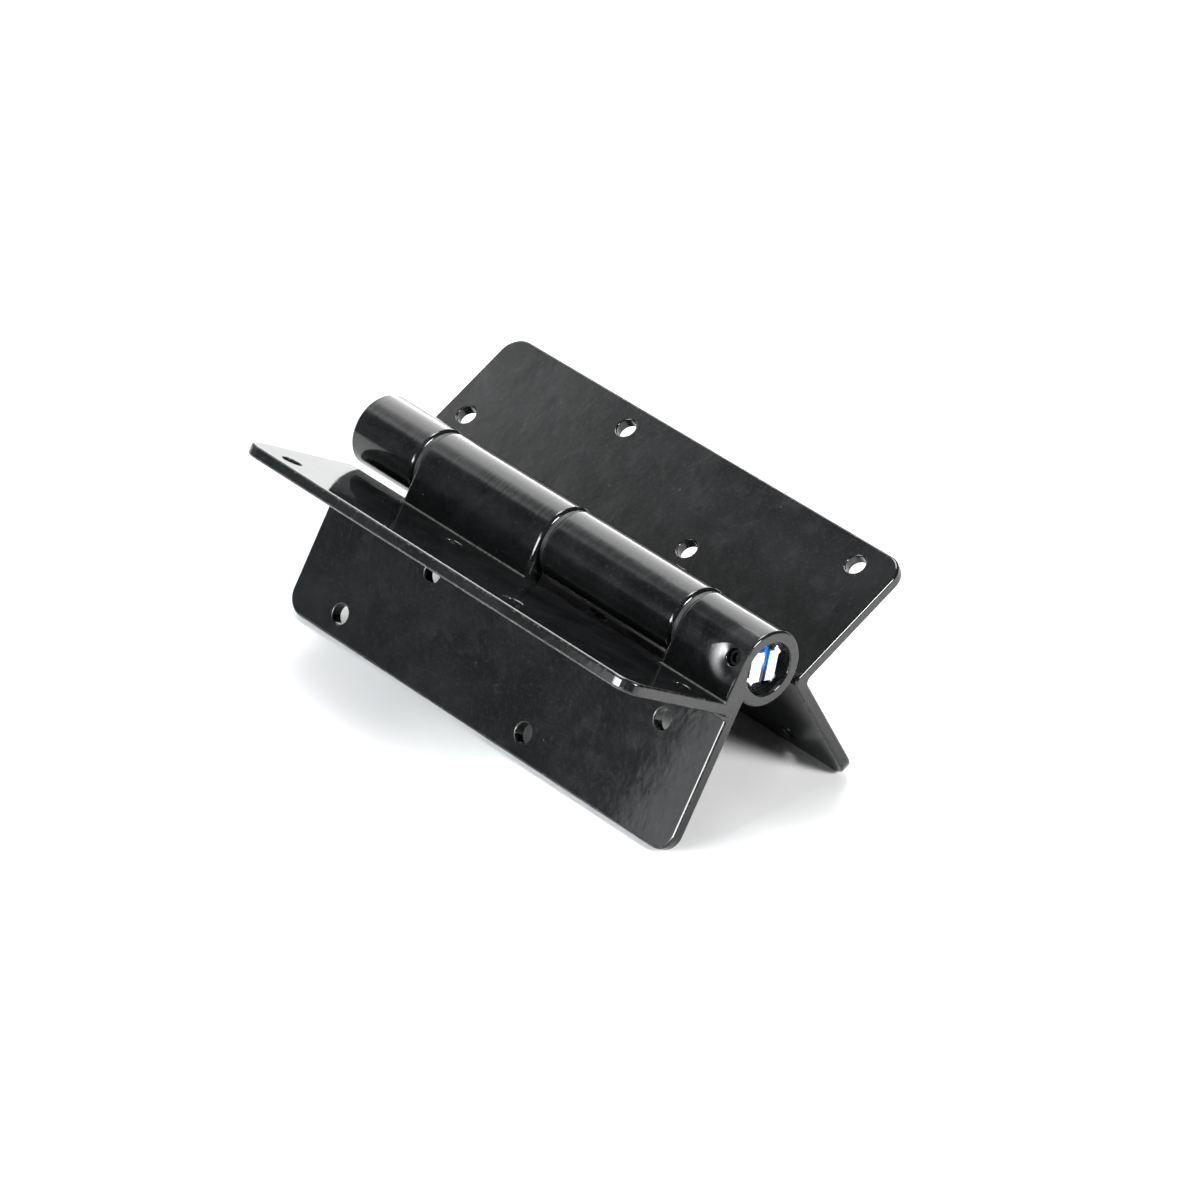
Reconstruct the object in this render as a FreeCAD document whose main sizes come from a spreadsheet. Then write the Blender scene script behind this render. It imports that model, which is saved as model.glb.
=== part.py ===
import FreeCAD, Part
import os
import math
from FreeCAD import Vector, Rotation, Placement
import Sketcher

# Self-closing hinge. Millimetres, +Z up. The barrel lies along Y, the hinge
# stands on the lower tips of its two leaves, and the origin is on the floor
# below the middle of the barrel.

doc = FreeCAD.newDocument("self_closing_hinge")

# ---------------------------------------------------------------- dimensions
sheet = doc.addObject("Spreadsheet::Sheet", "dims")
values = [
    # leaf
    ("leaf_len", 185.0),       # length along the barrel
    ("plate_thk", 4.0),        # plate thickness
    ("leg_in", 4.75),          # barrel axis to the inner face of the lower plate
    ("flange_top", 13.1),      # barrel axis to the top face of the upper plate
    ("flange_tip", 56.5),      # barrel axis to the outer edge of the upper plate
    ("leg_tip", 64.0),         # barrel axis to the outer edge of the lower plate
    ("corner_rad", 7.0),       # plate corners
    ("bend_out", 2.6),         # outside of the angle
    ("bend_in", 2.0),          # inside of the angle
    ("edge_rad", 0.9),         # rounded plate edges
    ("rim_rad", 1.5),          # rounded knuckle rims
    ("hole_edge", 0.5),        # rounded hole rims
    ("swing_deg", 29.5),       # tilt of each leaf as it stands
    # barrel
    ("barrel_rad", 12.5),
    ("bore_rad", 8.7),
    ("web_foot", 15.1),        # how deep the web runs into the angle
    ("knuckle_gap", 1.5),
    ("end_knuckle", 30.1),     # length of the short end knuckle
    # fixing holes, 4 in each plate, in two rows
    ("hole_rad", 3.3),
    ("fl_row_in", 24.0),
    ("fl_row_out", 48.0),
    ("fl_y_in_a", -83.0),
    ("fl_y_in_b", 24.0),
    ("fl_y_out_a", -29.5),
    ("fl_y_out_b", 77.5),
    ("leg_row_in", 28.5),
    ("leg_row_out", 56.0),
    ("leg_y_in_a", -69.5),
    ("leg_y_in_b", 40.0),
    ("leg_y_out_a", -21.0),
    ("leg_y_out_b", 69.0),
    # lock screw and its hole
    ("lock_rad", 2.75),
    ("lock_from_end", 5.2),
    ("lock_recess", 2.2),
    ("dish_rad", 9.0),         # dished seat around the hole
    ("dish_round", 25.0),      # radius of its soft edge
    ("dog_rad", 1.3),
    ("dog_tip", 7.85),         # barrel axis to the screw's tip
    ("dog_shoulder", 8.8),     # barrel axis to the screw's shoulder
    ("hex_af", 3.0),
    ("hex_deep", 1.1),
    # end plug
    ("plug_recess", 2.2),
    ("plug_len", 11.0),
    ("plug_rad", 8.65),
    ("plug_cham", 0.4),
    ("head_len", 4.8),         # lobed head
    ("head_flat", 5.3),        # axis to the head's flats
    ("lobe_out", 6.3),         # axis to the sides of its four lobes
    ("lobe_in", 3.2),          # half the width of a flat
    ("slot_half", 6.6),
    ("slot_wide", 2.5),
    ("slot_deg", 11.5),        # slot's lean from upright, as it stands
    # bushes and pivot tube
    ("bush_bore", 7.75),
    ("bush_flange_rad", 11.7),
    ("bush_flange_thk", 0.7),
    ("bush_len", 10.0),
    ("tube_rad", 7.7),
    ("tube_bore", 6.4),
    ("tube_half", 79.0),
    # torsion spring
    ("wire_rad", 1.1),
    ("coil_rad", 4.9),
    ("coil_pitch", 3.9),
    ("coil_half", 78.0),
    ("elbow_rad", 1.15),
    ("tang_y", 88.9),
    ("tang_reach", 6.4),
]
for row, (alias, number) in enumerate(values, start=1):
    sheet.set("A%d" % row, alias)
    sheet.set("B%d" % row, str(number))
    sheet.setAlias("B%d" % row, alias)
doc.recompute()


def val(alias):
    return float(sheet.get(alias))


def plane(body, role):
    for feature in body.Origin.OriginFeatures:
        if feature.Role == role:
            return feature
    raise ValueError(role)


def new_sketch(body, name, role):
    sketch = body.newObject("Sketcher::SketchObject", name)
    sketch.AttachmentSupport = [(plane(body, role), "")]
    sketch.MapMode = "FlatFace"
    return sketch


def dim(sketch, name, expression, *args):
    index = sketch.addConstraint(Sketcher.Constraint(*args))
    sketch.renameConstraint(index, name)
    sketch.setExpression("Constraints." + name, expression)


def rectilinear(sketch, points):
    # closed outline of upright and level lines through the given points
    n = len(points)
    for i in range(n):
        a, b = points[i], points[(i + 1) % n]
        sketch.addGeometry(Part.LineSegment(Vector(a[0], a[1], 0), Vector(b[0], b[1], 0)), False)
    for i in range(n):
        sketch.addConstraint(Sketcher.Constraint("Coincident", i, 2, (i + 1) % n, 1))
    for i in range(n):
        a, b = points[i], points[(i + 1) % n]
        kind = "Horizontal" if abs(a[1] - b[1]) < 1e-9 else "Vertical"
        sketch.addConstraint(Sketcher.Constraint(kind, i))


def pad(body, name, sketch, expression, symmetric=False, reverse=False):
    feature = body.newObject("PartDesign::Pad", name)
    feature.Profile = sketch
    feature.SideType = "Symmetric" if symmetric else "One side"
    feature.Reversed = reverse
    feature.setExpression("Length", expression)
    doc.recompute()
    return feature


def pocket_through(body, name, sketch, symmetric=False, reverse=False):
    feature = body.newObject("PartDesign::Pocket", name)
    feature.Profile = sketch
    feature.Type = "ThroughAll"
    feature.SideType = "Symmetric" if symmetric else "One side"
    feature.Reversed = reverse
    doc.recompute()
    return feature


def revolve(body, name, sketch):
    feature = body.newObject("PartDesign::Revolution", name)
    feature.Profile = sketch
    feature.ReferenceAxis = (sketch, ["V_Axis"])
    feature.Angle = 360.0
    doc.recompute()
    return feature


def fillet(body, name, base, picks, expression):
    feature = body.newObject("PartDesign::Fillet", name)
    feature.Base = (base, picks)
    feature.setExpression("Radius", expression)
    doc.recompute()
    return feature


def edges_where(shape, test):
    return ["Edge%d" % (i + 1) for i, edge in enumerate(shape.Edges) if test(edge)]


def near(a, b, tol=1e-3):
    return abs(a - b) < tol


def middle(edge):
    return edge.valueAt(0.5 * (edge.FirstParameter + edge.LastParameter))


def is_line(edge):
    return edge.Curve.TypeId == "Part::GeomLine"


def along(edge):
    a, b = edge.Vertexes[0].Point, edge.Vertexes[-1].Point
    d = b.sub(a)
    return d.normalize() if d.Length > 1e-9 else Vector(0, 0, 0)


# ---------------------------------------------------------------- leaves
# A leaf in its own frame: barrel axis along Y through the origin, the lower
# plate straight down, the upper plate level towards -X. The short knuckle is
# at the -Y end and the long one next to the middle.
def make_leaf(name):
    body = doc.addObject("PartDesign::Body", name)
    body.Label = name
    half = val("leaf_len") / 2.0
    thk, leg_in, top = val("plate_thk"), val("leg_in"), val("flange_top")
    tip, low = val("flange_tip"), val("leg_tip")

    # the angle: two plates
    section = new_sketch(body, name + "_angle", "XZ_Plane")
    rectilinear(section, [(-leg_in, -top), (-tip, -top), (-tip, -top - thk), (-leg_in - thk, -top - thk), (-leg_in - thk, -low), (-leg_in, -low)])
    dim(section, "leg_in", "dims.leg_in", "DistanceX", 0, 1, -1, 1, leg_in)
    dim(section, "top", "dims.flange_top", "DistanceY", 0, 1, -1, 1, top)
    dim(section, "tip", "dims.flange_tip", "DistanceX", 1, 1, -1, 1, tip)
    dim(section, "fl_thk", "dims.plate_thk", "DistanceY", 1, 2, 1, 1, thk)
    dim(section, "leg_thk", "dims.plate_thk", "DistanceX", 4, 1, 4, 2, thk)
    dim(section, "low", "dims.leg_tip", "DistanceY", 4, 2, -1, 1, low)
    angle = pad(body, name + "_plates", section, "dims.leaf_len", symmetric=True)

    # bend of the angle, outside and inside
    out_edge = edges_where(angle.Shape, lambda e: is_line(e) and abs(along(e).y) > 0.99 and near(middle(e).x, -leg_in) and near(middle(e).z, -top))
    bend_out = fillet(body, name + "_bend_out", angle, out_edge, "dims.bend_out")
    in_edge = edges_where(bend_out.Shape, lambda e: is_line(e) and abs(along(e).y) > 0.99 and near(middle(e).x, -leg_in - thk) and near(middle(e).z, -top - thk))
    bend_in = fillet(body, name + "_bend_in", bend_out, in_edge, "dims.bend_in")

    # rounded plate corners
    corner = edges_where(bend_in.Shape, lambda e: is_line(e) and near(abs(middle(e).y), half) and (
        (abs(along(e).z) > 0.99 and near(middle(e).x, -tip)) or (abs(along(e).x) > 0.99 and near(middle(e).z, -low))))
    corners = fillet(body, name + "_corners", bend_in, corner, "dims.corner_rad")

    # knuckles: a ring with a web whose flat side is tangent to the ring
    rad, foot = val("barrel_rad"), val("web_foot")
    drop = math.sqrt(rad * rad - leg_in * leg_in)
    gap, short = val("knuckle_gap"), val("end_knuckle")
    spans = [
        ("short", "-dims.leaf_len / 2", "dims.end_knuckle", -half),
        ("long", "dims.knuckle_gap / 2", "dims.leaf_len / 2 - dims.end_knuckle - dims.knuckle_gap * 1.5", gap / 2),
    ]
    for tag, start, length, at in spans:
        ring = new_sketch(body, name + "_ring_" + tag, "XZ_Plane")
        ring.AttachmentOffset = Placement(Vector(0, 0, -at), Rotation())
        ring.setExpression("AttachmentOffset.Base.z", "-(" + start + ")")
        first = math.atan2(-drop, -leg_in)
        ring.addGeometry(Part.ArcOfCircle(Part.Circle(Vector(0, 0, 0), Vector(0, 0, 1), rad), first, math.pi), False)
        ring.addGeometry(Part.LineSegment(Vector(-rad, 0, 0), Vector(-rad, -foot, 0)), False)
        ring.addGeometry(Part.LineSegment(Vector(-rad, -foot, 0), Vector(-leg_in, -foot, 0)), False)
        ring.addGeometry(Part.LineSegment(Vector(-leg_in, -foot, 0), Vector(-leg_in, -drop, 0)), False)
        ring.addConstraint(Sketcher.Constraint("Coincident", 0, 3, -1, 1))
        ring.addConstraint(Sketcher.Constraint("Coincident", 0, 2, 1, 1))
        ring.addConstraint(Sketcher.Constraint("Coincident", 1, 2, 2, 1))
        ring.addConstraint(Sketcher.Constraint("Coincident", 2, 2, 3, 1))
        ring.addConstraint(Sketcher.Constraint("Coincident", 3, 2, 0, 1))
        ring.addConstraint(Sketcher.Constraint("Vertical", 1))
        ring.addConstraint(Sketcher.Constraint("Horizontal", 2))
        ring.addConstraint(Sketcher.Constraint("Vertical", 3))
        ring.addConstraint(Sketcher.Constraint("PointOnObject", 1, 1, -1))
        dim(ring, "radius", "dims.barrel_rad", "Radius", 0, rad)
        dim(ring, "foot", "dims.web_foot", "DistanceY", 2, 2, -1, 1, foot)
        dim(ring, "leg_in", "dims.leg_in", "DistanceX", 2, 2, -1, 1, leg_in)
        last = pad(body, name + "_knuckle_" + tag, ring, length, reverse=True)

    # rounded edges: the outline of both end faces, the plate edges and the
    # rims of the inner knuckle ends
    shape = last.Shape

    def outer_edge(e):
        m = middle(e)
        if e.Length < 1e-6:
            return False
        on_end = near(abs(m.y), half)
        top_side = near(m.z, -top)
        under_side = near(m.z, -top - thk)
        leg_left = near(m.x, -leg_in - thk)
        leg_right = near(m.x, -leg_in)
        d = along(e)
        if is_line(e) and abs(d.y) > 0.99:
            # long edges of the two plate tips
            return (near(m.x, -tip) and (top_side or under_side)) or (near(m.z, -low) and (leg_left or leg_right))
        if on_end and e.BoundBox.YLength < 1e-6:
            # drop the short seams where a rounded corner begins
            if is_line(e) and abs(d.z) > 0.99 and m.x < -20:
                return False
            if is_line(e) and abs(d.x) > 0.99 and m.z < -40:
                return False
            return True
        if not is_line(e) and m.y > -half + 1e-3 and m.y < half - 1e-3 and abs(m.y) > half - val("corner_rad"):
            # rounded plate corners
            return (m.x < -30 and (top_side or under_side)) or (m.z < -40 and (leg_left or leg_right))
        return False

    edges = edges_where(shape, outer_edge)
    rounded = fillet(body, name + "_edges", last, edges, "dims.edge_rad")

    shape = rounded.Shape
    inner_ends = [-half + short, gap / 2.0, half - short - gap]

    def rim_edge(e):
        m = middle(e)
        if e.BoundBox.YLength > 1e-6 or not any(near(m.y, y) for y in inner_ends):
            return False
        if not is_line(e):
            return near(e.Curve.Radius, rad)
        return abs(along(e).z) > 0.99 and (near(m.x, -rad) or near(m.x, -leg_in))

    rims = fillet(body, name + "_rims", rounded, edges_where(shape, rim_edge), "dims.rim_rad")

    # bore through both knuckles
    bore_sk = new_sketch(body, name + "_bore_outline", "XZ_Plane")
    bore_sk.addGeometry(Part.Circle(Vector(0, 0, 0), Vector(0, 0, 1), val("bore_rad")), False)
    bore_sk.addConstraint(Sketcher.Constraint("Coincident", 0, 3, -1, 1))
    dim(bore_sk, "radius", "dims.bore_rad", "Radius", 0, val("bore_rad"))
    bore = pocket_through(body, name + "_bore", bore_sk, symmetric=True)

    # fixing holes of the upper plate
    fl = new_sketch(body, name + "_flange_holes", "XY_Plane")
    spots = [("fl_row_in", "fl_y_in_a"), ("fl_row_in", "fl_y_in_b"), ("fl_row_out", "fl_y_out_a"), ("fl_row_out", "fl_y_out_b")]
    for i, (row, y) in enumerate(spots):
        fl.addGeometry(Part.Circle(Vector(-val(row), val(y), 0), Vector(0, 0, 1), val("hole_rad")), False)
    for i, (row, y) in enumerate(spots):
        dim(fl, "radius%d" % i, "dims.hole_rad", "Radius", i, val("hole_rad"))
        dim(fl, "row%d" % i, "dims." + row, "DistanceX", i, 3, -1, 1, val(row))
        if val(y) < 0:
            dim(fl, "y%d" % i, "-dims." + y, "DistanceY", i, 3, -1, 1, -val(y))
        else:
            dim(fl, "y%d" % i, "dims." + y, "DistanceY", -1, 1, i, 3, val(y))
    flange_holes = pocket_through(body, name + "_flange_drill", fl)

    # fixing holes of the lower plate
    lg = new_sketch(body, name + "_leg_holes", "YZ_Plane")
    spots = [("leg_row_in", "leg_y_in_a"), ("leg_row_in", "leg_y_in_b"), ("leg_row_out", "leg_y_out_a"), ("leg_row_out", "leg_y_out_b")]
    for i, (row, y) in enumerate(spots):
        lg.addGeometry(Part.Circle(Vector(val(y), -val(row), 0), Vector(0, 0, 1), val("hole_rad")), False)
    for i, (row, y) in enumerate(spots):
        dim(lg, "radius%d" % i, "dims.hole_rad", "Radius", i, val("hole_rad"))
        dim(lg, "row%d" % i, "dims." + row, "DistanceY", i, 3, -1, 1, val(row))
        if val(y) < 0:
            dim(lg, "y%d" % i, "-dims." + y, "DistanceX", i, 3, -1, 1, -val(y))
        else:
            dim(lg, "y%d" % i, "dims." + y, "DistanceX", -1, 1, i, 3, val(y))
    leg_holes = pocket_through(body, name + "_leg_drill", lg)

    # dished seat around the lock screw: the flat side of the knuckle bends
    # softly inwards towards the hole
    at = -half + val("lock_from_end")
    dish = new_sketch(body, name + "_dish_outline", "XY_Plane")
    dish.AttachmentOffset = Placement(Vector(0, at, 0), Rotation())
    dish.setExpression("AttachmentOffset.Base.y", "-dims.leaf_len / 2 + dims.lock_from_end")
    wide, soft = val("dish_rad"), val("dish_round")
    run = math.sqrt(soft * soft - wide * wide)
    bottom = math.pi + math.atan2(wide, run)
    dish.addGeometry(Part.ArcOfCircle(Part.Circle(Vector(-rad + soft, wide, 0), Vector(0, 0, 1), soft), math.pi, bottom), False)
    dish.addGeometry(Part.LineSegment(Vector(-rad + soft - run, 0, 0), Vector(-rad - 1, 0, 0)), False)
    dish.addGeometry(Part.LineSegment(Vector(-rad - 1, 0, 0), Vector(-rad - 1, wide, 0)), False)
    dish.addGeometry(Part.LineSegment(Vector(-rad - 1, wide, 0), Vector(-rad, wide, 0)), False)
    dish.addConstraint(Sketcher.Constraint("Coincident", 0, 2, 1, 1))
    dish.addConstraint(Sketcher.Constraint("Coincident", 1, 2, 2, 1))
    dish.addConstraint(Sketcher.Constraint("Coincident", 2, 2, 3, 1))
    dish.addConstraint(Sketcher.Constraint("Coincident", 3, 2, 0, 1))
    dish.addConstraint(Sketcher.Constraint("Horizontal", 3))
    dish.addConstraint(Sketcher.Constraint("Vertical", 2))
    dish.addConstraint(Sketcher.Constraint("PointOnObject", 1, 1, -1))
    dish.addConstraint(Sketcher.Constraint("PointOnObject", 1, 2, -1))
    dim(dish, "soft", "dims.dish_round", "Radius", 0, soft)
    dim(dish, "wide", "dims.dish_rad", "DistanceY", -1, 1, 3, 2, wide)
    dim(dish, "centre", "dims.dish_rad", "DistanceY", -1, 1, 0, 3, wide)
    dim(dish, "face", "dims.barrel_rad", "DistanceX", 3, 2, -1, 1, rad)
    dim(dish, "clear", "dims.barrel_rad + 1", "DistanceX", 1, 2, -1, 1, rad + 1)
    dished = body.newObject("PartDesign::Groove", name + "_dish")
    dished.Profile = dish
    dished.ReferenceAxis = (dish, ["H_Axis"])
    dished.Angle = 360.0
    doc.recompute()

    # tapped hole for the lock screw, through the flat side of the short knuckle
    lock = new_sketch(body, name + "_lock_outline", "YZ_Plane")
    lock.addGeometry(Part.Circle(Vector(at, 0, 0), Vector(0, 0, 1), val("lock_rad")), False)
    dim(lock, "radius", "dims.lock_rad", "Radius", 0, val("lock_rad"))
    lock.addConstraint(Sketcher.Constraint("PointOnObject", 0, 3, -1))
    dim(lock, "at", "dims.leaf_len / 2 - dims.lock_from_end", "DistanceX", 0, 3, -1, 1, -at)
    lock_hole = pocket_through(body, name + "_lock_hole", lock)

    # rounded rims of the fixing holes and the bore mouths
    shape = lock_hole.Shape

    def hole_rim(e):
        m = middle(e)
        if is_line(e):
            return False
        if e.Curve.TypeId == "Part::GeomCircle" and near(e.Curve.Radius, val("hole_rad")):
            return True
        if e.Curve.TypeId == "Part::GeomCircle" and near(e.Curve.Radius, val("bore_rad")):
            return near(m.y, -half)
        # outer rim of the lock screw's hole
        return near(math.hypot(m.y - at, m.z), val("lock_rad"), 0.01) and m.x < -0.5 * (rad + val("bore_rad"))

    hole_rims = fillet(body, name + "_hole_rims", lock_hole, edges_where(shape, hole_rim), "dims.hole_edge")
    body.Tip = hole_rims
    doc.recompute()
    return body


# height of the barrel axis when the rounded lower edges rest on the floor
lean_rad = math.radians(val("swing_deg"))
lift = (val("leg_tip") - val("edge_rad")) * math.cos(lean_rad) - (val("leg_in") + val("edge_rad")) * math.sin(lean_rad) + val("edge_rad")
axis_pos = Vector(0, 0, lift)

leaf_front = make_leaf("leaf_front")
leaf_back = make_leaf("leaf_back")
tilt_front = Rotation(Vector(0, 1, 0), val("swing_deg"))
tilt_back = Rotation(Vector(0, 1, 0), -val("swing_deg")).multiply(Rotation(Vector(0, 0, 1), 180))
leaf_front.Placement = Placement(axis_pos, tilt_front)
leaf_back.Placement = Placement(axis_pos, tilt_back)
half_len = val("leaf_len") / 2.0


# ---------------------------------------------------------------- bushes
# A flanged bush in its own frame: the flange face at y = 0, the sleeve
# towards +Y, turned about the Y axis.
def make_bush(name):
    body = doc.addObject("PartDesign::Body", name)
    body.Label = name
    r0, r1, r2 = val("bush_bore"), val("bore_rad"), val("bush_flange_rad")
    t, ln = val("bush_flange_thk"), val("bush_len")
    sk = new_sketch(body, name + "_section", "XY_Plane")
    rectilinear(sk, [(r0, 0), (r2, 0), (r2, t), (r1, t), (r1, ln), (r0, ln)])
    sk.addConstraint(Sketcher.Constraint("PointOnObject", 0, 1, -1))
    dim(sk, "bore", "dims.bush_bore", "DistanceX", -1, 1, 0, 1, r0)
    dim(sk, "flange", "dims.bush_flange_rad", "DistanceX", -1, 1, 0, 2, r2)
    dim(sk, "thk", "dims.bush_flange_thk", "DistanceY", 1, 1, 1, 2, t)
    dim(sk, "body_rad", "dims.bore_rad", "DistanceX", -1, 1, 2, 2, r1)
    dim(sk, "long", "dims.bush_len", "DistanceY", -1, 1, 4, 1, ln)
    body.Tip = revolve(body, name + "_turned", sk)
    return body


# inner knuckle ends, from the near end of the barrel to the far end: the bush
# flange stands in the gap and its sleeve is pressed into the knuckle
short, gap, flange_thk = val("end_knuckle"), val("knuckle_gap"), val("bush_flange_thk")
ends = [
    ("bush_1", -half_len + short, -1),
    ("bush_2", -half_len + short + gap, 1),
    ("bush_3", -gap / 2, -1),
    ("bush_4", gap / 2, 1),
    ("bush_5", half_len - short - gap, -1),
    ("bush_6", half_len - short, 1),
]
bushes = []
for name, y, side in ends:
    bush = make_bush(name)
    turn = Rotation() if side > 0 else Rotation(Vector(1, 0, 0), 180)
    bush.Placement = Placement(axis_pos.add(Vector(0, y - side * flange_thk, 0)), turn)
    bushes.append(bush)

# ---------------------------------------------------------------- pivot tube
tube = doc.addObject("PartDesign::Body", "pivot_tube")
tube.Label = "pivot_tube"
sk = new_sketch(tube, "tube_section", "XZ_Plane")
sk.addGeometry(Part.Circle(Vector(0, 0, 0), Vector(0, 0, 1), val("tube_rad")), False)
sk.addGeometry(Part.Circle(Vector(0, 0, 0), Vector(0, 0, 1), val("tube_bore")), False)
sk.addConstraint(Sketcher.Constraint("Coincident", 0, 3, -1, 1))
sk.addConstraint(Sketcher.Constraint("Coincident", 1, 3, -1, 1))
dim(sk, "outer", "dims.tube_rad", "Radius", 0, val("tube_rad"))
dim(sk, "inner", "dims.tube_bore", "Radius", 1, val("tube_bore"))
tube.Tip = pad(tube, "tube_wall", sk, "dims.tube_half * 2", symmetric=True)
tube.Placement = Placement(axis_pos, Rotation())


# ---------------------------------------------------------------- end plugs
# A plug in its own frame: outer face at y = 0, body towards +Y. Its head is a
# square with a lobe on each corner, behind it is a round base that fills the
# bore, and a slot right through both takes the spring.
def make_plug(name):
    body = doc.addObject("PartDesign::Body", name)
    body.Label = name
    r, head, ln = val("plug_rad"), val("head_len"), val("plug_len")
    sk = new_sketch(body, name + "_section", "XY_Plane")
    rectilinear(sk, [(0, head), (r, head), (r, ln), (0, ln)])
    sk.addConstraint(Sketcher.Constraint("PointOnObject", 0, 1, -2))
    dim(sk, "radius", "dims.plug_rad", "DistanceX", 0, 1, 0, 2, r)
    dim(sk, "head", "dims.head_len", "DistanceY", -1, 1, 0, 1, head)
    dim(sk, "long", "dims.plug_len", "DistanceY", -1, 1, 2, 1, ln)
    base = revolve(body, name + "_base", sk)

    # lobed head: a flat on each side and a lobe on each corner
    lobes = new_sketch(body, name + "_head_outline", "XZ_Plane")
    flat, out, inn = val("head_flat"), val("lobe_out"), val("lobe_in")
    step = inn + out - flat
    quarter = [("lobe_in", inn, "head_flat", flat), ("step", step, "lobe_out", out), ("lobe_out", out, "step", step), ("head_flat", flat, "lobe_in", inn)]
    names = {"step": "dims.lobe_in + dims.lobe_out - dims.head_flat", "lobe_in": "dims.lobe_in", "lobe_out": "dims.lobe_out", "head_flat": "dims.head_flat"}
    corners = []
    for sx, sy, turn in ((1, 1, 1), (1, -1, -1), (-1, -1, 1), (-1, 1, -1)):
        for ax, x, ay, y in quarter[::turn]:
            corners.append((sx, ax, x, sy, ay, y))
    count = len(corners)
    for i in range(count):
        p, q = corners[i], corners[(i + 1) % count]
        lobes.addGeometry(Part.LineSegment(Vector(p[0] * p[2], p[3] * p[5], 0), Vector(q[0] * q[2], q[3] * q[5], 0)), False)
    for i in range(count):
        lobes.addConstraint(Sketcher.Constraint("Coincident", i, 2, (i + 1) % count, 1))
    for i, (sx, ax, x, sy, ay, y) in enumerate(corners):
        ends = (-1, 1, i, 1) if sx > 0 else (i, 1, -1, 1)
        dim(lobes, "x%d" % i, names[ax], "DistanceX", *ends, x)
        ends = (-1, 1, i, 1) if sy > 0 else (i, 1, -1, 1)
        dim(lobes, "y%d" % i, names[ay], "DistanceY", *ends, y)
    head_pad = pad(body, name + "_head", lobes, "dims.head_len", reverse=True)
    rim = edges_where(head_pad.Shape, lambda e: near(middle(e).y, 0) and e.BoundBox.YLength < 1e-6)
    cham = body.newObject("PartDesign::Chamfer", name + "_chamfer")
    cham.Base = (head_pad, rim)
    cham.setExpression("Size", "dims.plug_cham")
    doc.recompute()
    slot = new_sketch(body, name + "_slot_outline", "XZ_Plane")
    a, w = val("slot_half"), val("slot_wide") / 2
    rectilinear(slot, [(-w, -a), (w, -a), (w, a), (-w, a)])
    slot.addConstraint(Sketcher.Constraint("Symmetric", 0, 1, 2, 1, -1, 1))
    dim(slot, "wide", "dims.slot_wide", "DistanceX", 0, 1, 0, 2, 2 * w)
    dim(slot, "tall", "dims.slot_half * 2", "DistanceY", 1, 1, 1, 2, 2 * a)
    body.Tip = pocket_through(body, name + "_slot", slot, symmetric=True)
    return body


plug_near = make_plug("end_plug_near")
plug_far = make_plug("end_plug_far")
lean = Rotation(Vector(0, 1, 0), val("slot_deg"))
plug_near.Placement = Placement(axis_pos.add(Vector(0, -half_len + val("plug_recess"), 0)), lean)
plug_far.Placement = Placement(axis_pos.add(Vector(0, half_len - val("plug_recess"), 0)), lean.multiply(Rotation(Vector(1, 0, 0), 180)))


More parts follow.
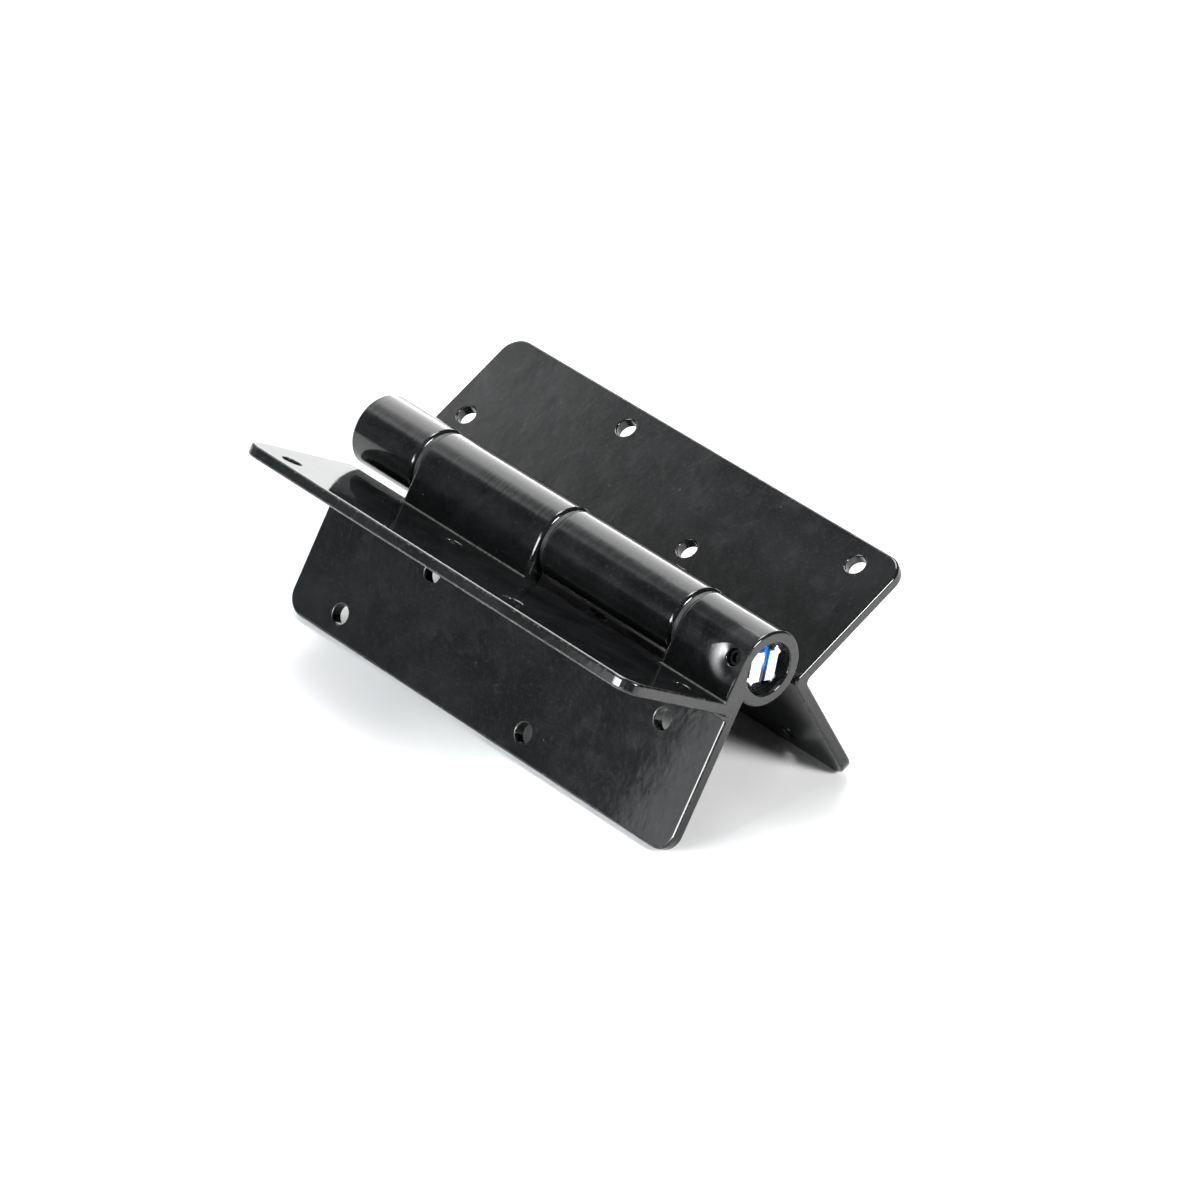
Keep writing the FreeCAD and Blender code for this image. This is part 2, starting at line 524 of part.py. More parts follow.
# ---------------------------------------------------------------- lock screws
# A headless screw in its own frame: axis along Y, tip at the lower end, the
# barrel axis at y = 0 and the socket end outwards.
def make_lock_screw(name):
    body = doc.addObject("PartDesign::Body", name)
    body.Label = name
    r, rd = val("lock_rad"), val("dog_rad")
    y0, y1, y2 = val("dog_tip"), val("dog_shoulder"), val("barrel_rad") - val("lock_recess")
    sk = new_sketch(body, name + "_section", "XY_Plane")
    rectilinear(sk, [(0, y0), (rd, y0), (rd, y1), (r, y1), (r, y2), (0, y2)])
    sk.addConstraint(Sketcher.Constraint("PointOnObject", 0, 1, -2))
    dim(sk, "tip", "dims.dog_tip", "DistanceY", -1, 1, 0, 1, y0)
    dim(sk, "dog", "dims.dog_rad", "DistanceX", 0, 1, 0, 2, rd)
    dim(sk, "shoulder", "dims.dog_shoulder", "DistanceY", -1, 1, 2, 1, y1)
    dim(sk, "radius", "dims.lock_rad", "DistanceX", -1, 1, 2, 2, r)
    dim(sk, "outer", "dims.barrel_rad - dims.lock_recess", "DistanceY", -1, 1, 4, 2, y2)
    turned = revolve(body, name + "_turned", sk)
    edge = edges_where(turned.Shape, lambda e: not is_line(e) and near(middle(e).y, y2) and near(e.Curve.Radius, r))
    cham = body.newObject("PartDesign::Chamfer", name + "_chamfer")
    cham.Base = (turned, edge)
    cham.Size = 0.35
    doc.recompute()
    hexa = new_sketch(body, name + "_socket_outline", "XZ_Plane")
    hexa.AttachmentOffset = Placement(Vector(0, 0, -y2), Rotation())
    hexa.setExpression("AttachmentOffset.Base.z", "-(dims.barrel_rad - dims.lock_recess)")
    c = val("hex_af") / math.sqrt(3.0)
    pts = [Vector(c * math.cos(math.radians(60 * i)), c * math.sin(math.radians(60 * i)), 0) for i in range(6)]
    for i in range(6):
        hexa.addGeometry(Part.LineSegment(pts[i], pts[(i + 1) % 6]), False)
    circle = hexa.addGeometry(Part.Circle(Vector(0, 0, 0), Vector(0, 0, 1), c), True)
    hexa.addConstraint(Sketcher.Constraint("Coincident", circle, 3, -1, 1))
    for i in range(6):
        hexa.addConstraint(Sketcher.Constraint("Coincident", i, 2, (i + 1) % 6, 1))
        hexa.addConstraint(Sketcher.Constraint("PointOnObject", i, 1, circle))
    for i in range(1, 6):
        hexa.addConstraint(Sketcher.Constraint("Equal", 0, i))
    hexa.addConstraint(Sketcher.Constraint("PointOnObject", 0, 1, -1))
    dim(hexa, "radius", "dims.hex_af / sqrt(3)", "Radius", circle, c)
    socket = body.newObject("PartDesign::Pocket", name + "_socket")
    socket.Profile = hexa
    socket.setExpression("Length", "dims.hex_deep")
    doc.recompute()
    before = cham.Shape.Volume
    if socket.Shape.Volume > before - 1.0:
        socket.Reversed = True
        doc.recompute()
    if socket.Shape.Volume > before - 1.0:
        raise RuntimeError("socket cuts nothing in " + name)
    body.Tip = socket
    return body


screw_near = make_lock_screw("lock_screw_near")
screw_far = make_lock_screw("lock_screw_far")
# its own +Y points along the leaf's -X
out = Rotation(Vector(0, 0, 1), 90)
seat = Vector(0, -half_len + val("lock_from_end"), 0)
screw_near.Placement = leaf_front.Placement.multiply(Placement(seat, out))
screw_far.Placement = leaf_back.Placement.multiply(Placement(seat, out))

# ---------------------------------------------------------------- spring
# Round wire coil inside the pivot tube. At each end the wire runs straight
# through the plug's slot and then turns across it.
helix = doc.addObject("Part::Helix", "coil_path")
helix.setExpression("Radius", "dims.coil_rad")
helix.setExpression("Pitch", "dims.coil_pitch")
helix.setExpression("Height", "dims.coil_half * 2")
helix.Style = 1
helix.LocalCoord = "Left-handed"
helix.SegmentLength = 1.0
helix.Placement = Placement(Vector(0, 0, -val("coil_half")), Rotation())
helix.setExpression("Placement.Base.z", "-dims.coil_half")
ring = doc.addObject("Part::Circle", "wire_section")
ring.setExpression("Radius", "dims.wire_rad")
slope = math.degrees(math.atan2(val("coil_pitch"), 2 * math.pi * val("coil_rad")))
ring.Placement = Placement(Vector(val("coil_rad"), 0, -val("coil_half")), Rotation(Vector(1, 0, 0), 90 - slope))
coil = doc.addObject("Part::Sweep", "coil")
coil.Sections = [ring]
coil.Spine = (helix, [])
coil.Solid = True
coil.Frenet = True
doc.recompute()
pieces = [coil]
for tag, side in (("near", -1), ("far", 1)):
    leg = doc.addObject("Part::Cylinder", "tang_leg_" + tag)
    leg.setExpression("Radius", "dims.wire_rad")
    leg.setExpression("Height", "dims.tang_y - dims.coil_half")
    low = -val("tang_y") if side < 0 else val("coil_half")
    leg.Placement = Placement(Vector(val("coil_rad"), 0, low), Rotation())
    leg.setExpression("Placement.Base.x", "dims.coil_rad")
    leg.setExpression("Placement.Base.z", "-dims.tang_y" if side < 0 else "dims.coil_half")
    bar = doc.addObject("Part::Cylinder", "tang_bar_" + tag)
    bar.setExpression("Radius", "dims.wire_rad")
    bar.setExpression("Height", "dims.tang_reach + dims.coil_rad")
    bar.Placement = Placement(Vector(-val("tang_reach"), 0, side * val("tang_y")), Rotation(Vector(0, 1, 0), 90))
    bar.setExpression("Placement.Base.x", "-dims.tang_reach")
    bar.setExpression("Placement.Base.z", "-dims.tang_y" if side < 0 else "dims.tang_y")
    for k, alias in (("root", "coil_half"), ("elbow", "tang_y")):
        ball = doc.addObject("Part::Sphere", "tang_%s_%s" % (k, tag))
        ball.setExpression("Radius", "dims.elbow_rad")
        ball.Placement = Placement(Vector(val("coil_rad"), 0, side * val(alias)), Rotation())
        ball.setExpression("Placement.Base.x", "dims.coil_rad")
        ball.setExpression("Placement.Base.z", ("-" if side < 0 else "") + "dims." + alias)
        pieces.append(ball)
    pieces += [leg, bar]
spring = doc.addObject("Part::MultiFuse", "torsion_spring")
spring.Label = "torsion_spring"
spring.Shapes = pieces
doc.recompute()
# coil axis onto the barrel, the tang bars into the slots
spring.Placement = Placement(axis_pos, lean.multiply(Rotation(Vector(0, 0, 1), 90)).multiply(Rotation(Vector(0, 1, 0), 90)))
doc.recompute()

# ---------------------------------------------------------------- checks
nodes = [leaf_front, leaf_back] + bushes + [tube, plug_near, plug_far, screw_near, screw_far, spring]
problems = []
for obj in doc.Objects:
    if "Invalid" in obj.State or "Error" in obj.State:
        problems.append("%s: %s" % (obj.Name, obj.State))
for obj in nodes:
    if obj.Shape.isNull() or not obj.Shape.isValid() or len(obj.Shape.Solids) != 1:
        problems.append("%s: bad shape, %d solids" % (obj.Label, len(obj.Shape.Solids)))
if problems:
    raise RuntimeError("; ".join(problems))

os.makedirs("parts", exist_ok=True)
for obj in nodes:
    obj.Shape.exportStep("parts/%s.step" % obj.Label)
    box = obj.Shape.BoundBox
    print("%-16s volume %9.1f  x %7.2f %7.2f  y %7.2f %7.2f  z %7.2f %7.2f" % (obj.Label, obj.Shape.Volume, box.XMin, box.XMax, box.YMin, box.YMax, box.ZMin, box.ZMax))
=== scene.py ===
import bpy
import bmesh
import math
from mathutils import Matrix, Vector


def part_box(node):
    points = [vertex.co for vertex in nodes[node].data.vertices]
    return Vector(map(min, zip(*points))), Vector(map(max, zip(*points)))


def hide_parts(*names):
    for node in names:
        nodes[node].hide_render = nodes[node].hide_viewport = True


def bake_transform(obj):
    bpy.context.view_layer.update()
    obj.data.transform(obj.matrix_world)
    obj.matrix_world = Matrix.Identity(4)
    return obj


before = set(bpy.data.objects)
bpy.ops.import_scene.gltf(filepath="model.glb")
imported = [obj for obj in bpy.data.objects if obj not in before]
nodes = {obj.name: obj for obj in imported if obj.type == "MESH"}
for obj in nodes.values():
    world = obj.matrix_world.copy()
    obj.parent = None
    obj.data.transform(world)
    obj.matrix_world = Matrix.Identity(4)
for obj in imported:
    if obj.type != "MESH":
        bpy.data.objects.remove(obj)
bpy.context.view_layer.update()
scene = bpy.context.scene
scene.view_settings.view_transform = "Standard"
scene.view_settings.look = "None"

# height of the barrel axis above the floor
barrel_lo, barrel_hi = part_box("pivot_tube")
axis_z = 0.5 * (barrel_lo.z + barrel_hi.z)


# ------------------------------------------------------------------ materials
class Graph:
    """A material and short calls to build its nodes."""

    def __init__(self, name):
        self.mat = bpy.data.materials.new(name)
        self.mat.use_nodes = True
        self.tree = self.mat.node_tree
        self.tree.nodes.clear()
        self.out = self.tree.nodes.new("ShaderNodeOutputMaterial")
        self.bsdf = self.tree.nodes.new("ShaderNodeBsdfPrincipled")
        self.link(self.bsdf.outputs[0], self.out.inputs["Surface"])
        self.coord = self.tree.nodes.new("ShaderNodeTexCoord").outputs["Object"]

    def link(self, a, b):
        self.tree.links.new(a, b)

    def put(self, socket, value):
        if isinstance(value, bpy.types.NodeSocket):
            self.link(value, socket)
        else:
            socket.default_value = value

    def scaled(self, vector):
        node = self.tree.nodes.new("ShaderNodeMapping")
        node.inputs["Scale"].default_value = vector
        self.link(self.coord, node.inputs["Vector"])
        return node.outputs["Vector"]

    def noise(self, scale, detail=2.0, rough=0.5, distortion=0.0, vector=None):
        node = self.tree.nodes.new("ShaderNodeTexNoise")
        node.inputs["Scale"].default_value = scale
        node.inputs["Detail"].default_value = detail
        node.inputs["Roughness"].default_value = rough
        node.inputs["Distortion"].default_value = distortion
        self.link(vector or self.coord, node.inputs["Vector"])
        return node.outputs["Fac"]

    def cells(self, scale, vector=None):
        node = self.tree.nodes.new("ShaderNodeTexVoronoi")
        node.inputs["Scale"].default_value = scale
        self.link(vector or self.coord, node.inputs["Vector"])
        return node.outputs["Distance"]

    def ramp(self, value, a, b, lo=0.0, hi=1.0):
        node = self.tree.nodes.new("ShaderNodeMapRange")
        node.interpolation_type = "SMOOTHSTEP"
        self.put(node.inputs["Value"], value)
        node.inputs["From Min"].default_value = a
        node.inputs["From Max"].default_value = b
        node.inputs["To Min"].default_value = lo
        node.inputs["To Max"].default_value = hi
        return node.outputs["Result"]

    def math(self, op, a, b=0.0, c=0.0):
        node = self.tree.nodes.new("ShaderNodeMath")
        node.operation = op
        for socket, value in zip(node.inputs, (a, b, c)):
            self.put(socket, value)
        return node.outputs[0]

    def mix(self, fac, a, b):
        node = self.tree.nodes.new("ShaderNodeMix")
        node.data_type = "RGBA"
        self.put(node.inputs["Factor"], fac)
        for socket, value in ((node.inputs["A"], a), (node.inputs["B"], b)):
            sockets = [s for s in node.inputs if s.name == socket.name and s.type == "RGBA"]
            self.put(sockets[0], value if isinstance(value, bpy.types.NodeSocket) else (*value, 1.0))
        return [s for s in node.outputs if s.type == "RGBA"][0]

    def bump(self, height, strength, distance, normal=None):
        node = self.tree.nodes.new("ShaderNodeBump")
        node.inputs["Strength"].default_value = strength
        node.inputs["Distance"].default_value = distance
        self.link(height, node.inputs["Height"])
        if normal is not None:
            self.link(normal, node.inputs["Normal"])
        return node.outputs["Normal"]

    def facing_y(self):
        """1 on the cut ends of a leaf, 0 on the other faces."""
        geo = self.tree.nodes.new("ShaderNodeNewGeometry")
        split = self.tree.nodes.new("ShaderNodeSeparateXYZ")
        self.link(geo.outputs["True Normal"], split.inputs[0])
        place = self.tree.nodes.new("ShaderNodeSeparateXYZ")
        self.link(self.coord, place.inputs[0])
        outer = self.math("GREATER_THAN", self.math("ABSOLUTE", place.outputs["Y"]), 0.0915)
        return self.math("MULTIPLY", self.ramp(self.math("ABSOLUTE", split.outputs["Y"]), 0.93, 0.985), outer)

    def barrel(self):
        """1 on the barrel, 0 on the plates."""
        split = self.tree.nodes.new("ShaderNodeSeparateXYZ")
        self.link(self.coord, split.inputs[0])
        up = self.math("SUBTRACT", split.outputs["Z"], axis_z)
        square = self.math("ADD", self.math("MULTIPLY", split.outputs["X"], split.outputs["X"]), self.math("MULTIPLY", up, up))
        return self.ramp(self.math("SQRT", square), 0.0142, 0.0130)

    def edges(self):
        """1 on rounded edges and corners, 0 on flat faces."""
        split = self.tree.nodes.new("ShaderNodeSeparateXYZ")
        tex = self.tree.nodes.new("ShaderNodeTexCoord")
        self.link(tex.outputs["Normal"], split.inputs[0])
        across = self.math("ABSOLUTE", split.outputs["X"])
        along = self.math("ABSOLUTE", split.outputs["Y"])
        steep = self.math("ABSOLUTE", self.math("SUBTRACT", across, 0.870))
        shallow = self.math("ABSOLUTE", self.math("SUBTRACT", across, 0.492))
        square = self.math("SUBTRACT", 1.0, along)
        least = self.math("MINIMUM", self.math("MINIMUM", steep, shallow), square)
        return self.ramp(least, 0.02, 0.09)

    def seat(self):
        """1 round the lock screw holes, 0 away from them."""
        split = self.tree.nodes.new("ShaderNodeSeparateXYZ")
        self.link(self.coord, split.inputs[0])
        x, y = split.outputs["X"], split.outputs["Y"]
        dx = self.math("SUBTRACT", self.math("ABSOLUTE", x), 0.0109)
        dy = self.math("SUBTRACT", self.math("ABSOLUTE", y), 0.0873)
        dz = self.math("SUBTRACT", split.outputs["Z"], axis_z + 0.0062)
        square = self.math("ADD", self.math("MULTIPLY", dx, dx), self.math("MULTIPLY", dy, dy))
        square = self.math("ADD", square, self.math("MULTIPLY", dz, dz))
        near = self.ramp(self.math("SQRT", square), 0.0120, 0.0065)
        same_side = self.math("GREATER_THAN", self.math("MULTIPLY", x, y), 0.0)
        return self.math("MULTIPLY", near, same_side)

    def foot(self):
        """1 in the corner where a knuckle's web stands on its plate, 0 elsewhere."""
        split = self.tree.nodes.new("ShaderNodeSeparateXYZ")
        self.link(self.coord, split.inputs[0])
        x, y = split.outputs["X"], split.outputs["Y"]
        dx = self.math("SUBTRACT", self.math("ABSOLUTE", x), 0.01733)
        dz = self.math("SUBTRACT", split.outputs["Z"], axis_z - 0.00525)
        square = self.math("ADD", self.math("MULTIPLY", dx, dx), self.math("MULTIPLY", dz, dz))
        line = self.ramp(self.math("SQRT", square), 0.00050, 0.00022)
        # the two leaves are the same part turned round
        run = self.math("MULTIPLY", y, self.math("SIGN", self.math("MULTIPLY", x, -1.0)))
        middle = self.math("MULTIPLY", self.math("GREATER_THAN", run, 0.0008), self.math("LESS_THAN", run, 0.0615))
        end = self.math("LESS_THAN", run, -0.0624)
        return self.math("MULTIPLY", line, self.math("MAXIMUM", middle, end))

    def along_y(self, a, b):
        split = self.tree.nodes.new("ShaderNodeSeparateXYZ")
        self.link(self.coord, split.inputs[0])
        return self.ramp(split.outputs["Y"], a, b)

    def height(self, a, b):
        split = self.tree.nodes.new("ShaderNodeSeparateXYZ")
        self.link(self.coord, split.inputs[0])
        return self.ramp(split.outputs["Z"], a, b)

    def done(self, colour, rough, normal=None, **fixed):
        self.put(self.bsdf.inputs["Base Color"], colour if isinstance(colour, bpy.types.NodeSocket) else (*colour, 1.0))
        self.put(self.bsdf.inputs["Roughness"], rough)
        if normal is not None:
            self.link(normal, self.bsdf.inputs["Normal"])
        for key, value in fixed.items():
            self.bsdf.inputs[key.replace("_", " ")].default_value = value
        return self.mat


def coat_material():
    g = Graph("black_coat")
    ends = g.facing_y()
    barrel = g.barrel()
    seat = g.seat()
    turned = g.math("MULTIPLY", barrel, g.along_y(-0.0640, -0.0615))
    edge = g.math("MULTIPLY", g.edges(), g.math("SUBTRACT", 1.0, barrel))
    cloud = g.noise(38.0, 4.0, 0.6, 0.6)
    smear = g.noise(120.0, 5.0, 0.62, 0.4)
    wave = g.noise(85.0, 3.0, 0.5, 0.3)
    peel = g.noise(430.0, 2.0, 0.45)
    grain = g.noise(2600.0, 2.0, 0.5)
    # flow marks of the coat, a cooler tone in the thin places
    colour = g.mix(g.ramp(cloud, 0.36, 0.66), (0.0038, 0.0043, 0.0045), (0.0076, 0.0084, 0.0087))
    colour = g.mix(g.math("MULTIPLY", g.ramp(smear, 0.50, 0.72), 0.35), colour, (0.0150, 0.0163, 0.0171))
    fleck = g.ramp(g.noise(850.0, 3.0, 0.65), 0.50, 0.72)
    colour = g.mix(g.math("MULTIPLY", fleck, 0.45), colour, (0.0190, 0.0202, 0.0208))
    # the cut end faces take a duller coat; their colour is painted shade and light, dark low down on the legs' ends and
    # lighter up on the flanges' ends
    cut = g.mix(g.height(0.030, 0.052), (0.0016, 0.0016, 0.0015), (0.0240, 0.0235, 0.0225))
    colour = g.mix(g.math("MULTIPLY", ends, 0.8), colour, cut)
    # a painted highlight: a thin pale line in the corner at the foot of each web
    painted_foot_glint = g.math("MULTIPLY", g.foot(), g.ramp(g.noise(700.0, 3.0, 0.6), 0.28, 0.52, 0.25, 1.0))
    colour = g.mix(painted_foot_glint, colour, (0.150, 0.150, 0.146))
    # rubbed places along the edges, lighter in colour: partly wear, partly a painted highlight along the edges
    edge_rub_and_highlight = g.math("MULTIPLY", edge, g.ramp(g.noise(520.0, 4.0, 0.6), 0.50, 0.66))
    colour = g.mix(g.math("MULTIPLY", edge_rub_and_highlight, 0.7), colour, (0.0600, 0.0520, 0.0450))
    # dust specks
    dust = g.math("LESS_THAN", g.cells(310.0), 0.055)
    rare = g.ramp(g.noise(140.0, 1.0, 0.5), 0.60, 0.66)
    speck = g.math("MULTIPLY", dust, rare)
    colour = g.mix(g.math("MULTIPLY", speck, 0.5), colour, (0.16, 0.16, 0.16))
    # a hard gloss, duller on cut ends, rubbed edges, specks and round the lock screws
    gloss = g.ramp(smear, 0.34, 0.74, 0.055, 0.105)
    gloss = g.math("ADD", gloss, g.math("MULTIPLY", ends, 0.20))
    gloss = g.math("ADD", gloss, g.math("MULTIPLY", turned, 0.06))
    gloss = g.math("ADD", gloss, g.math("MULTIPLY", painted_foot_glint, 0.40))
    gloss = g.math("ADD", gloss, g.math("MULTIPLY", seat, 0.11))
    gloss = g.math("ADD", gloss, g.math("MULTIPLY", edge_rub_and_highlight, 0.08))
    gloss = g.math("ADD", gloss, g.math("MULTIPLY", speck, 0.4))
    # waves and orange peel everywhere, fine rings of the turned barrel under the coat
    rings = g.math("MULTIPLY", g.noise(1.0, 3.0, 0.6, vector=g.scaled((30.0, 420.0, 30.0))), turned)
    fine = g.math("MULTIPLY", g.noise(1.0, 3.0, 0.6, vector=g.scaled((60.0, 1300.0, 60.0))), turned)
    normal = g.bump(wave, 0.50, 0.00008)
    normal = g.bump(peel, 0.10, 0.00005, normal)
    normal = g.bump(grain, 0.05, 0.000008, normal)
    normal = g.bump(rings, 0.50, 0.00004, normal)
    normal = g.bump(fine, 0.35, 0.00002, normal)
    return g.done(colour, gloss, normal, IOR=1.48)


def bush_material():
    g = Graph("black_nylon")
    tone = g.noise(300.0, 3.0, 0.6)
    colour = g.mix(tone, (0.012, 0.012, 0.013), (0.022, 0.022, 0.023))
    turned = g.noise(900.0, 2.0, 0.5, vector=g.scaled((1.0, 6.0, 1.0)))
    return g.done(colour, g.ramp(tone, 0.3, 0.7, 0.42, 0.58), g.bump(turned, 0.3, 0.00003))


def tube_material():
    g = Graph("drawn_steel")
    streak = g.noise(2200.0, 3.0, 0.6, vector=g.scaled((1.0, 0.03, 1.0)))
    colour = g.mix(streak, (0.36, 0.36, 0.37), (0.56, 0.56, 0.57))
    return g.done(colour, g.ramp(streak, 0.3, 0.7, 0.24, 0.40), g.bump(streak, 0.3, 0.00002), Metallic=1.0)


def plug_material():
    g = Graph("bright_zinc")
    spangle = g.noise(520.0, 3.0, 0.55, 0.5)
    brush = g.noise(2600.0, 2.0, 0.6, vector=g.scaled((1.0, 1.0, 0.12)))
    colour = g.mix(spangle, (0.86, 0.88, 0.91), (0.96, 0.965, 0.97))
    rough = g.ramp(brush, 0.3, 0.7, 0.20, 0.32)
    return g.done(colour, rough, g.bump(brush, 0.18, 0.00002), Metallic=1.0)


def screw_material():
    g = Graph("black_oxide")
    stain = g.noise(900.0, 4.0, 0.6)
    colour = g.mix(stain, (0.004, 0.004, 0.0045), (0.012, 0.0115, 0.011))
    return g.done(colour, g.ramp(stain, 0.3, 0.7, 0.20, 0.34), g.bump(stain, 0.25, 0.00003), Metallic=1.0)


def spring_material():
    g = Graph("blue_lacquer")
    flow = g.noise(420.0, 3.0, 0.55, 0.3)
    draw = g.noise(1800.0, 2.0, 0.5)
    split = g.tree.nodes.new("ShaderNodeSeparateXYZ")
    g.link(g.coord, split.inputs[0])
    colour = g.mix(flow, (0.001, 0.085, 0.36), (0.002, 0.160, 0.56))
    # painted shade: the wire is darker low down
    colour = g.mix(g.ramp(split.outputs["Z"], axis_z + 0.0015, axis_z - 0.0030), colour, (0.0005, 0.006, 0.030))
    return g.done(colour, g.ramp(draw, 0.3, 0.7, 0.22, 0.34), g.bump(draw, 0.2, 0.00002), IOR=1.5, Coat_Weight=0.5, Coat_Roughness=0.12)


looks = {
    "leaf_front": coat_material(),
    "pivot_tube": tube_material(),
    "end_plug_near": plug_material(),
    "lock_screw_near": screw_material(),
    "torsion_spring": spring_material(),
    "bush_1": bush_material(),
}
kinds = {"leaf": "leaf_front", "pivot": "pivot_tube", "end": "end_plug_near", "lock": "lock_screw_near", "torsion": "torsion_spring", "bush": "bush_1"}
for name, obj in nodes.items():
    material = looks[kinds[name.split("_")[0]]]
    obj.data.materials.clear()
    obj.data.materials.append(material)


# ------------------------------------------------------------------ spring
def spring_length(name, low, high):
    """A length of the spring's wire from low to high along the barrel, made as a mesh of its own."""
    cut = bmesh.new()
    cut.from_mesh(nodes["torsion_spring"].data)
    bmesh.ops.remove_doubles(cut, verts=cut.verts[:], dist=0.000002)
    for y, below, above in ((low, True, False), (high, False, True)):
        geom = cut.verts[:] + cut.edges[:] + cut.faces[:]
        bmesh.ops.bisect_plane(cut, geom=geom, dist=0.0000001, plane_co=(0, y, 0), plane_no=(0, 1, 0), clear_inner=below, clear_outer=above)
    for face in cut.faces:
        face.smooth = True
    rim = [e for e in cut.edges if e.is_boundary]
    caps = bmesh.ops.holes_fill(cut, edges=rim, sides=0)["faces"]
    bmesh.ops.triangulate(cut, faces=caps)
    mesh = bpy.data.meshes.new(name)
    cut.to_mesh(mesh)
    cut.free()
    if "custom_normal" in mesh.attributes:
        mesh.attributes.remove(mesh.attributes["custom_normal"])
    mesh.materials.append(looks["torsion_spring"])
    obj = bpy.data.objects.new(name, mesh)
    scene.collection.objects.link(obj)
    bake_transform(obj)
    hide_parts("torsion_spring")


# one wire in three lengths
spring_length("spring_near", -0.100, -0.026)
spring_length("spring_middle", -0.026, 0.026)
spring_length("spring_far", 0.026, 0.100)


# ------------------------------------------------------------------ floor
def floor_material():
    g = Graph("pale_floor")
    tone = g.noise(5.0, 3.0, 0.5)
    fine = g.noise(900.0, 2.0, 0.5)
    colour = g.mix(tone, (0.83, 0.83, 0.835), (0.85, 0.85, 0.85))
    return g.done(colour, 0.6, g.bump(fine, 0.05, 0.00005), IOR=1.4)


mesh = bpy.data.meshes.new("floor")
w = 4.0
mesh.from_pydata([(-w, -w, 0), (w, -w, 0), (w, w, 0), (-w, w, 0)], [], [(0, 1, 2, 3)])
floor = bpy.data.objects.new("floor", mesh)
floor.location = (0, 0, -0.00002)
scene.collection.objects.link(floor)
mesh.materials.append(floor_material())


# ------------------------------------------------------------------ light
world = bpy.data.worlds.new("studio")
scene.world = world
world.use_nodes = True
tree = world.node_tree
tree.nodes.clear()
wout = tree.nodes.new("ShaderNodeOutputWorld")
back_node = tree.nodes.new("ShaderNodeBackground")
tree.links.new(back_node.outputs[0], wout.inputs["Surface"])
coord = tree.nodes.new("ShaderNodeTexCoord")
split = tree.nodes.new("ShaderNodeSeparateXYZ")
tree.links.new(coord.outputs["Generated"], split.inputs[0])


def wmap(socket, a, b, lo, hi):
    node = tree.nodes.new("ShaderNodeMapRange")
    node.interpolation_type = "SMOOTHSTEP"
    tree.links.new(socket, node.inputs["Value"])
    node.inputs["From Min"].default_value = a
    node.inputs["From Max"].default_value = b
    node.inputs["To Min"].default_value = lo
    node.inputs["To Max"].default_value = hi
    return node.outputs["Result"]


def wmath(op, a, b):
    node = tree.nodes.new("ShaderNodeMath")
    node.operation = op
    for s, v in zip(node.inputs, (a, b)):
        if isinstance(v, bpy.types.NodeSocket):
            tree.links.new(v, s)
        else:
            s.default_value = v
    return node.outputs[0]


# a bright wall behind and to the right, with a dim room above and on the left
turn = wmath("ARCTAN2", split.outputs["Y"], split.outputs["X"])
slant = wmath("ADD", turn, wmath("MULTIPLY", split.outputs["Z"], 0.6))
wall = wmath("MULTIPLY", wmap(split.outputs["Z"], 0.68, 0.772, 1.0, 0.0), wmap(slant, 2.20, 2.42, 1.0, 0.0))
wall = wmath("MULTIPLY", wall, wmap(turn, 0.35, 0.75, 0.0, 1.0))
wall = wmath("MULTIPLY", wall, wmath("ADD", wmap(split.outputs["Z"], 0.30, 0.70, 4.3, 3.8), wmath("MULTIPLY", wmap(split.outputs["Z"], 0.04, 0.30, 4.0, 0.0), wmap(turn, 0.85, 1.15, 1.0, -0.75))))
# its light falls off straight behind
wall = wmath("MULTIPLY", wall, wmap(split.outputs["Y"], 0.72, 0.84, 1.0, 0.18))
above = wmath("MULTIPLY", wmap(split.outputs["Z"], 0.70, 0.76, 0.0, 1.0), wmap(turn, 1.00, 1.40, 0.0, 0.30))
left = wmath("MULTIPLY", wmap(split.outputs["Z"], 0.30, 0.60, 1.0, 0.0), wmap(turn, 2.00, 2.50, 0.0, 0.15))
strength = wmath("ADD", wmath("ADD", wall, above), wmath("ADD", left, 0.04))
back_node.inputs["Color"].default_value = (1.0, 1.0, 1.0, 1.0)
tree.links.new(strength, back_node.inputs["Strength"])


def area(name, place, target, size_x, size_y, watts, colour=(1, 1, 1)):
    data = bpy.data.lights.new(name, "AREA")
    data.shape = "RECTANGLE"
    data.size, data.size_y = size_x, size_y
    data.energy = watts
    data.color = colour
    obj = bpy.data.objects.new(name, data)
    obj.location = place
    obj.rotation_mode = "QUATERNION"
    obj.rotation_quaternion = (Vector(place) - Vector(target)).to_track_quat("Z", "Y")
    scene.collection.objects.link(obj)
    return obj


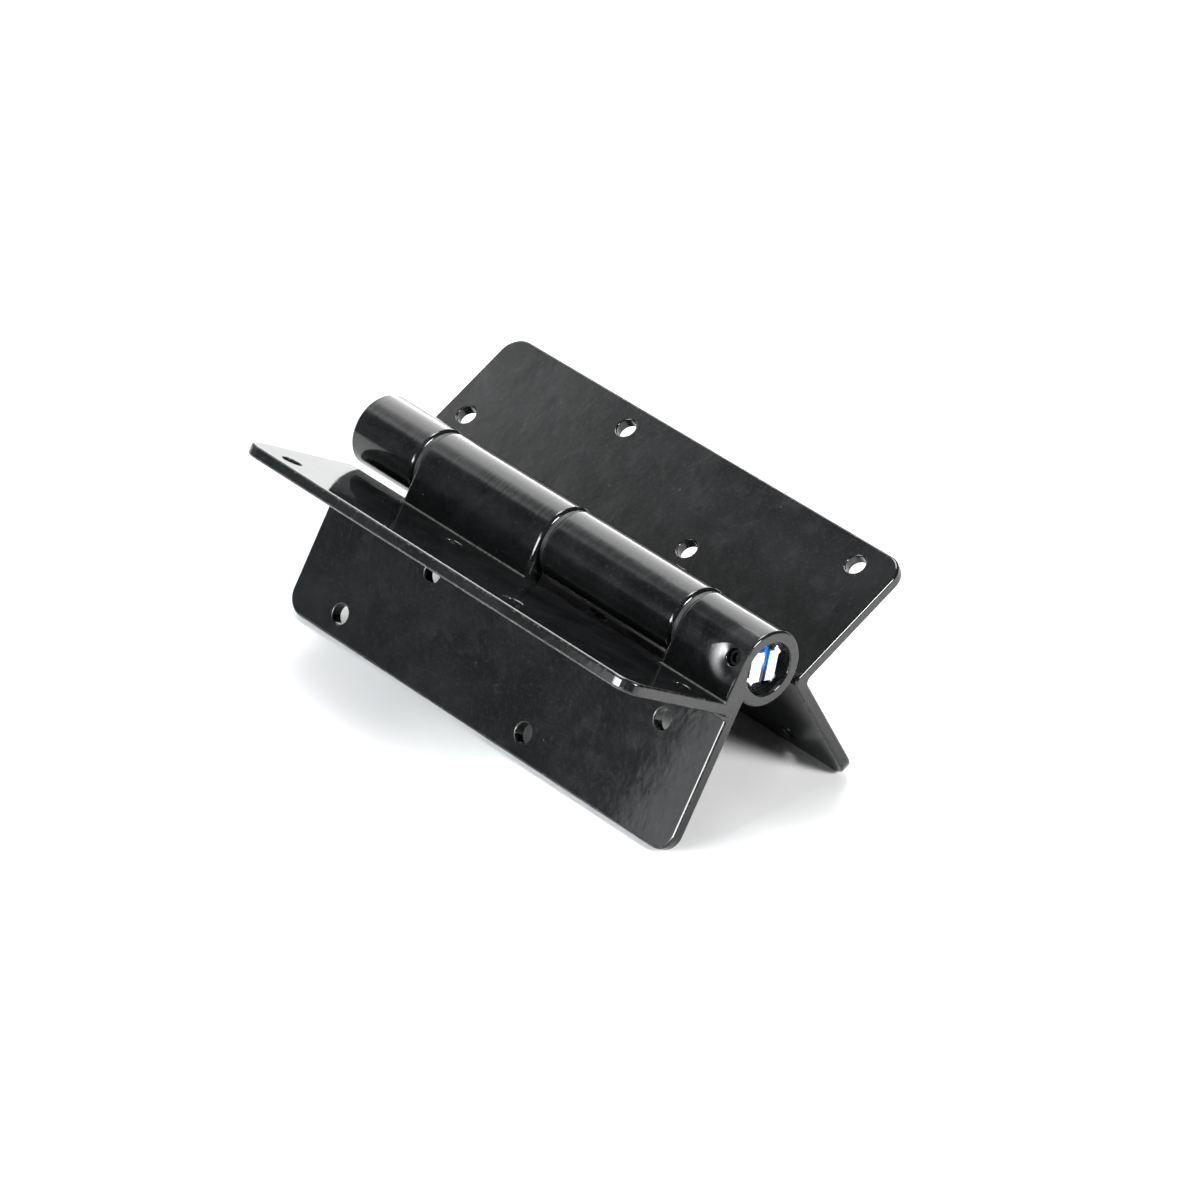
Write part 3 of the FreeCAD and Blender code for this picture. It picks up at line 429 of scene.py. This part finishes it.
here = Vector((0.0, 0.0, axis_z))
# a strong light low on the left, fading to its far edge
out = Vector((-0.972, 0.235, 0.0))
along = Vector((0.235, 0.972, 0.0))
for i, (edge, tall, watts) in enumerate(((0.405, 0.50, 2.4), (0.330, 0.42, 4.0), (0.239, 0.32, 4.8), (0.129, 0.22, 7.0))):
    middle = out * (0.977 + 0.004 * i) + along * (0.5 * (edge - 0.40)) + Vector((0, 0, 0.36))
    area("left_box_%d" % (i + 1), middle, middle - out + Vector((0, 0, -0.31)), edge + 0.40, tall, watts, (0.955, 0.985, 1.0))
# its near end, a long low strip
area("left_strip", (-0.95, -0.33, 0.25), here, 0.40, 0.14, 3.6, (0.95, 0.98, 1.0))
# a small key in front, which reaches under the leaves
area("front_key", (0.179, -1.548, 0.953), here, 0.46, 0.46, 43.0)
# a fill overhead
area("top_fill", (0.42, 0.52, 1.35), Vector((0.20, 0.35, 0.0)), 0.60, 0.60, 21.0)

# ------------------------------------------------------------------ camera
azimuth, elevation, roll = (math.radians(v) for v in (-41.41, 30.52, 1.78))
distance, focal_px = 1.98512, 6405.1
shift_px = (-30.41, -53.89)
back = Vector((math.sin(azimuth) * math.cos(elevation), -math.cos(azimuth) * math.cos(elevation), math.sin(elevation)))
right = Vector((math.cos(azimuth), math.sin(azimuth), 0.0))
up = back.cross(right)
right, up = right * math.cos(roll) + up * math.sin(roll), up * math.cos(roll) - right * math.sin(roll)
# aimed a little to the side, so that the hinge sits where the picture has it
ahead = (-back - right * (shift_px[0] / focal_px) + up * (shift_px[1] / focal_px)).normalized()
side = ahead.cross(up).normalized()
tall = side.cross(ahead).normalized()
cam_data = bpy.data.cameras.new("camera")
cam_data.sensor_width = 36.0
cam_data.lens = focal_px / 1200.0 * 36.0
cam_data.clip_start, cam_data.clip_end = 0.05, 50.0
cam = bpy.data.objects.new("camera", cam_data)
place = here + back * distance
cam.matrix_world = Matrix.Translation(place) @ Matrix((side, tall, -ahead)).transposed().to_4x4()
scene.collection.objects.link(cam)
scene.camera = cam
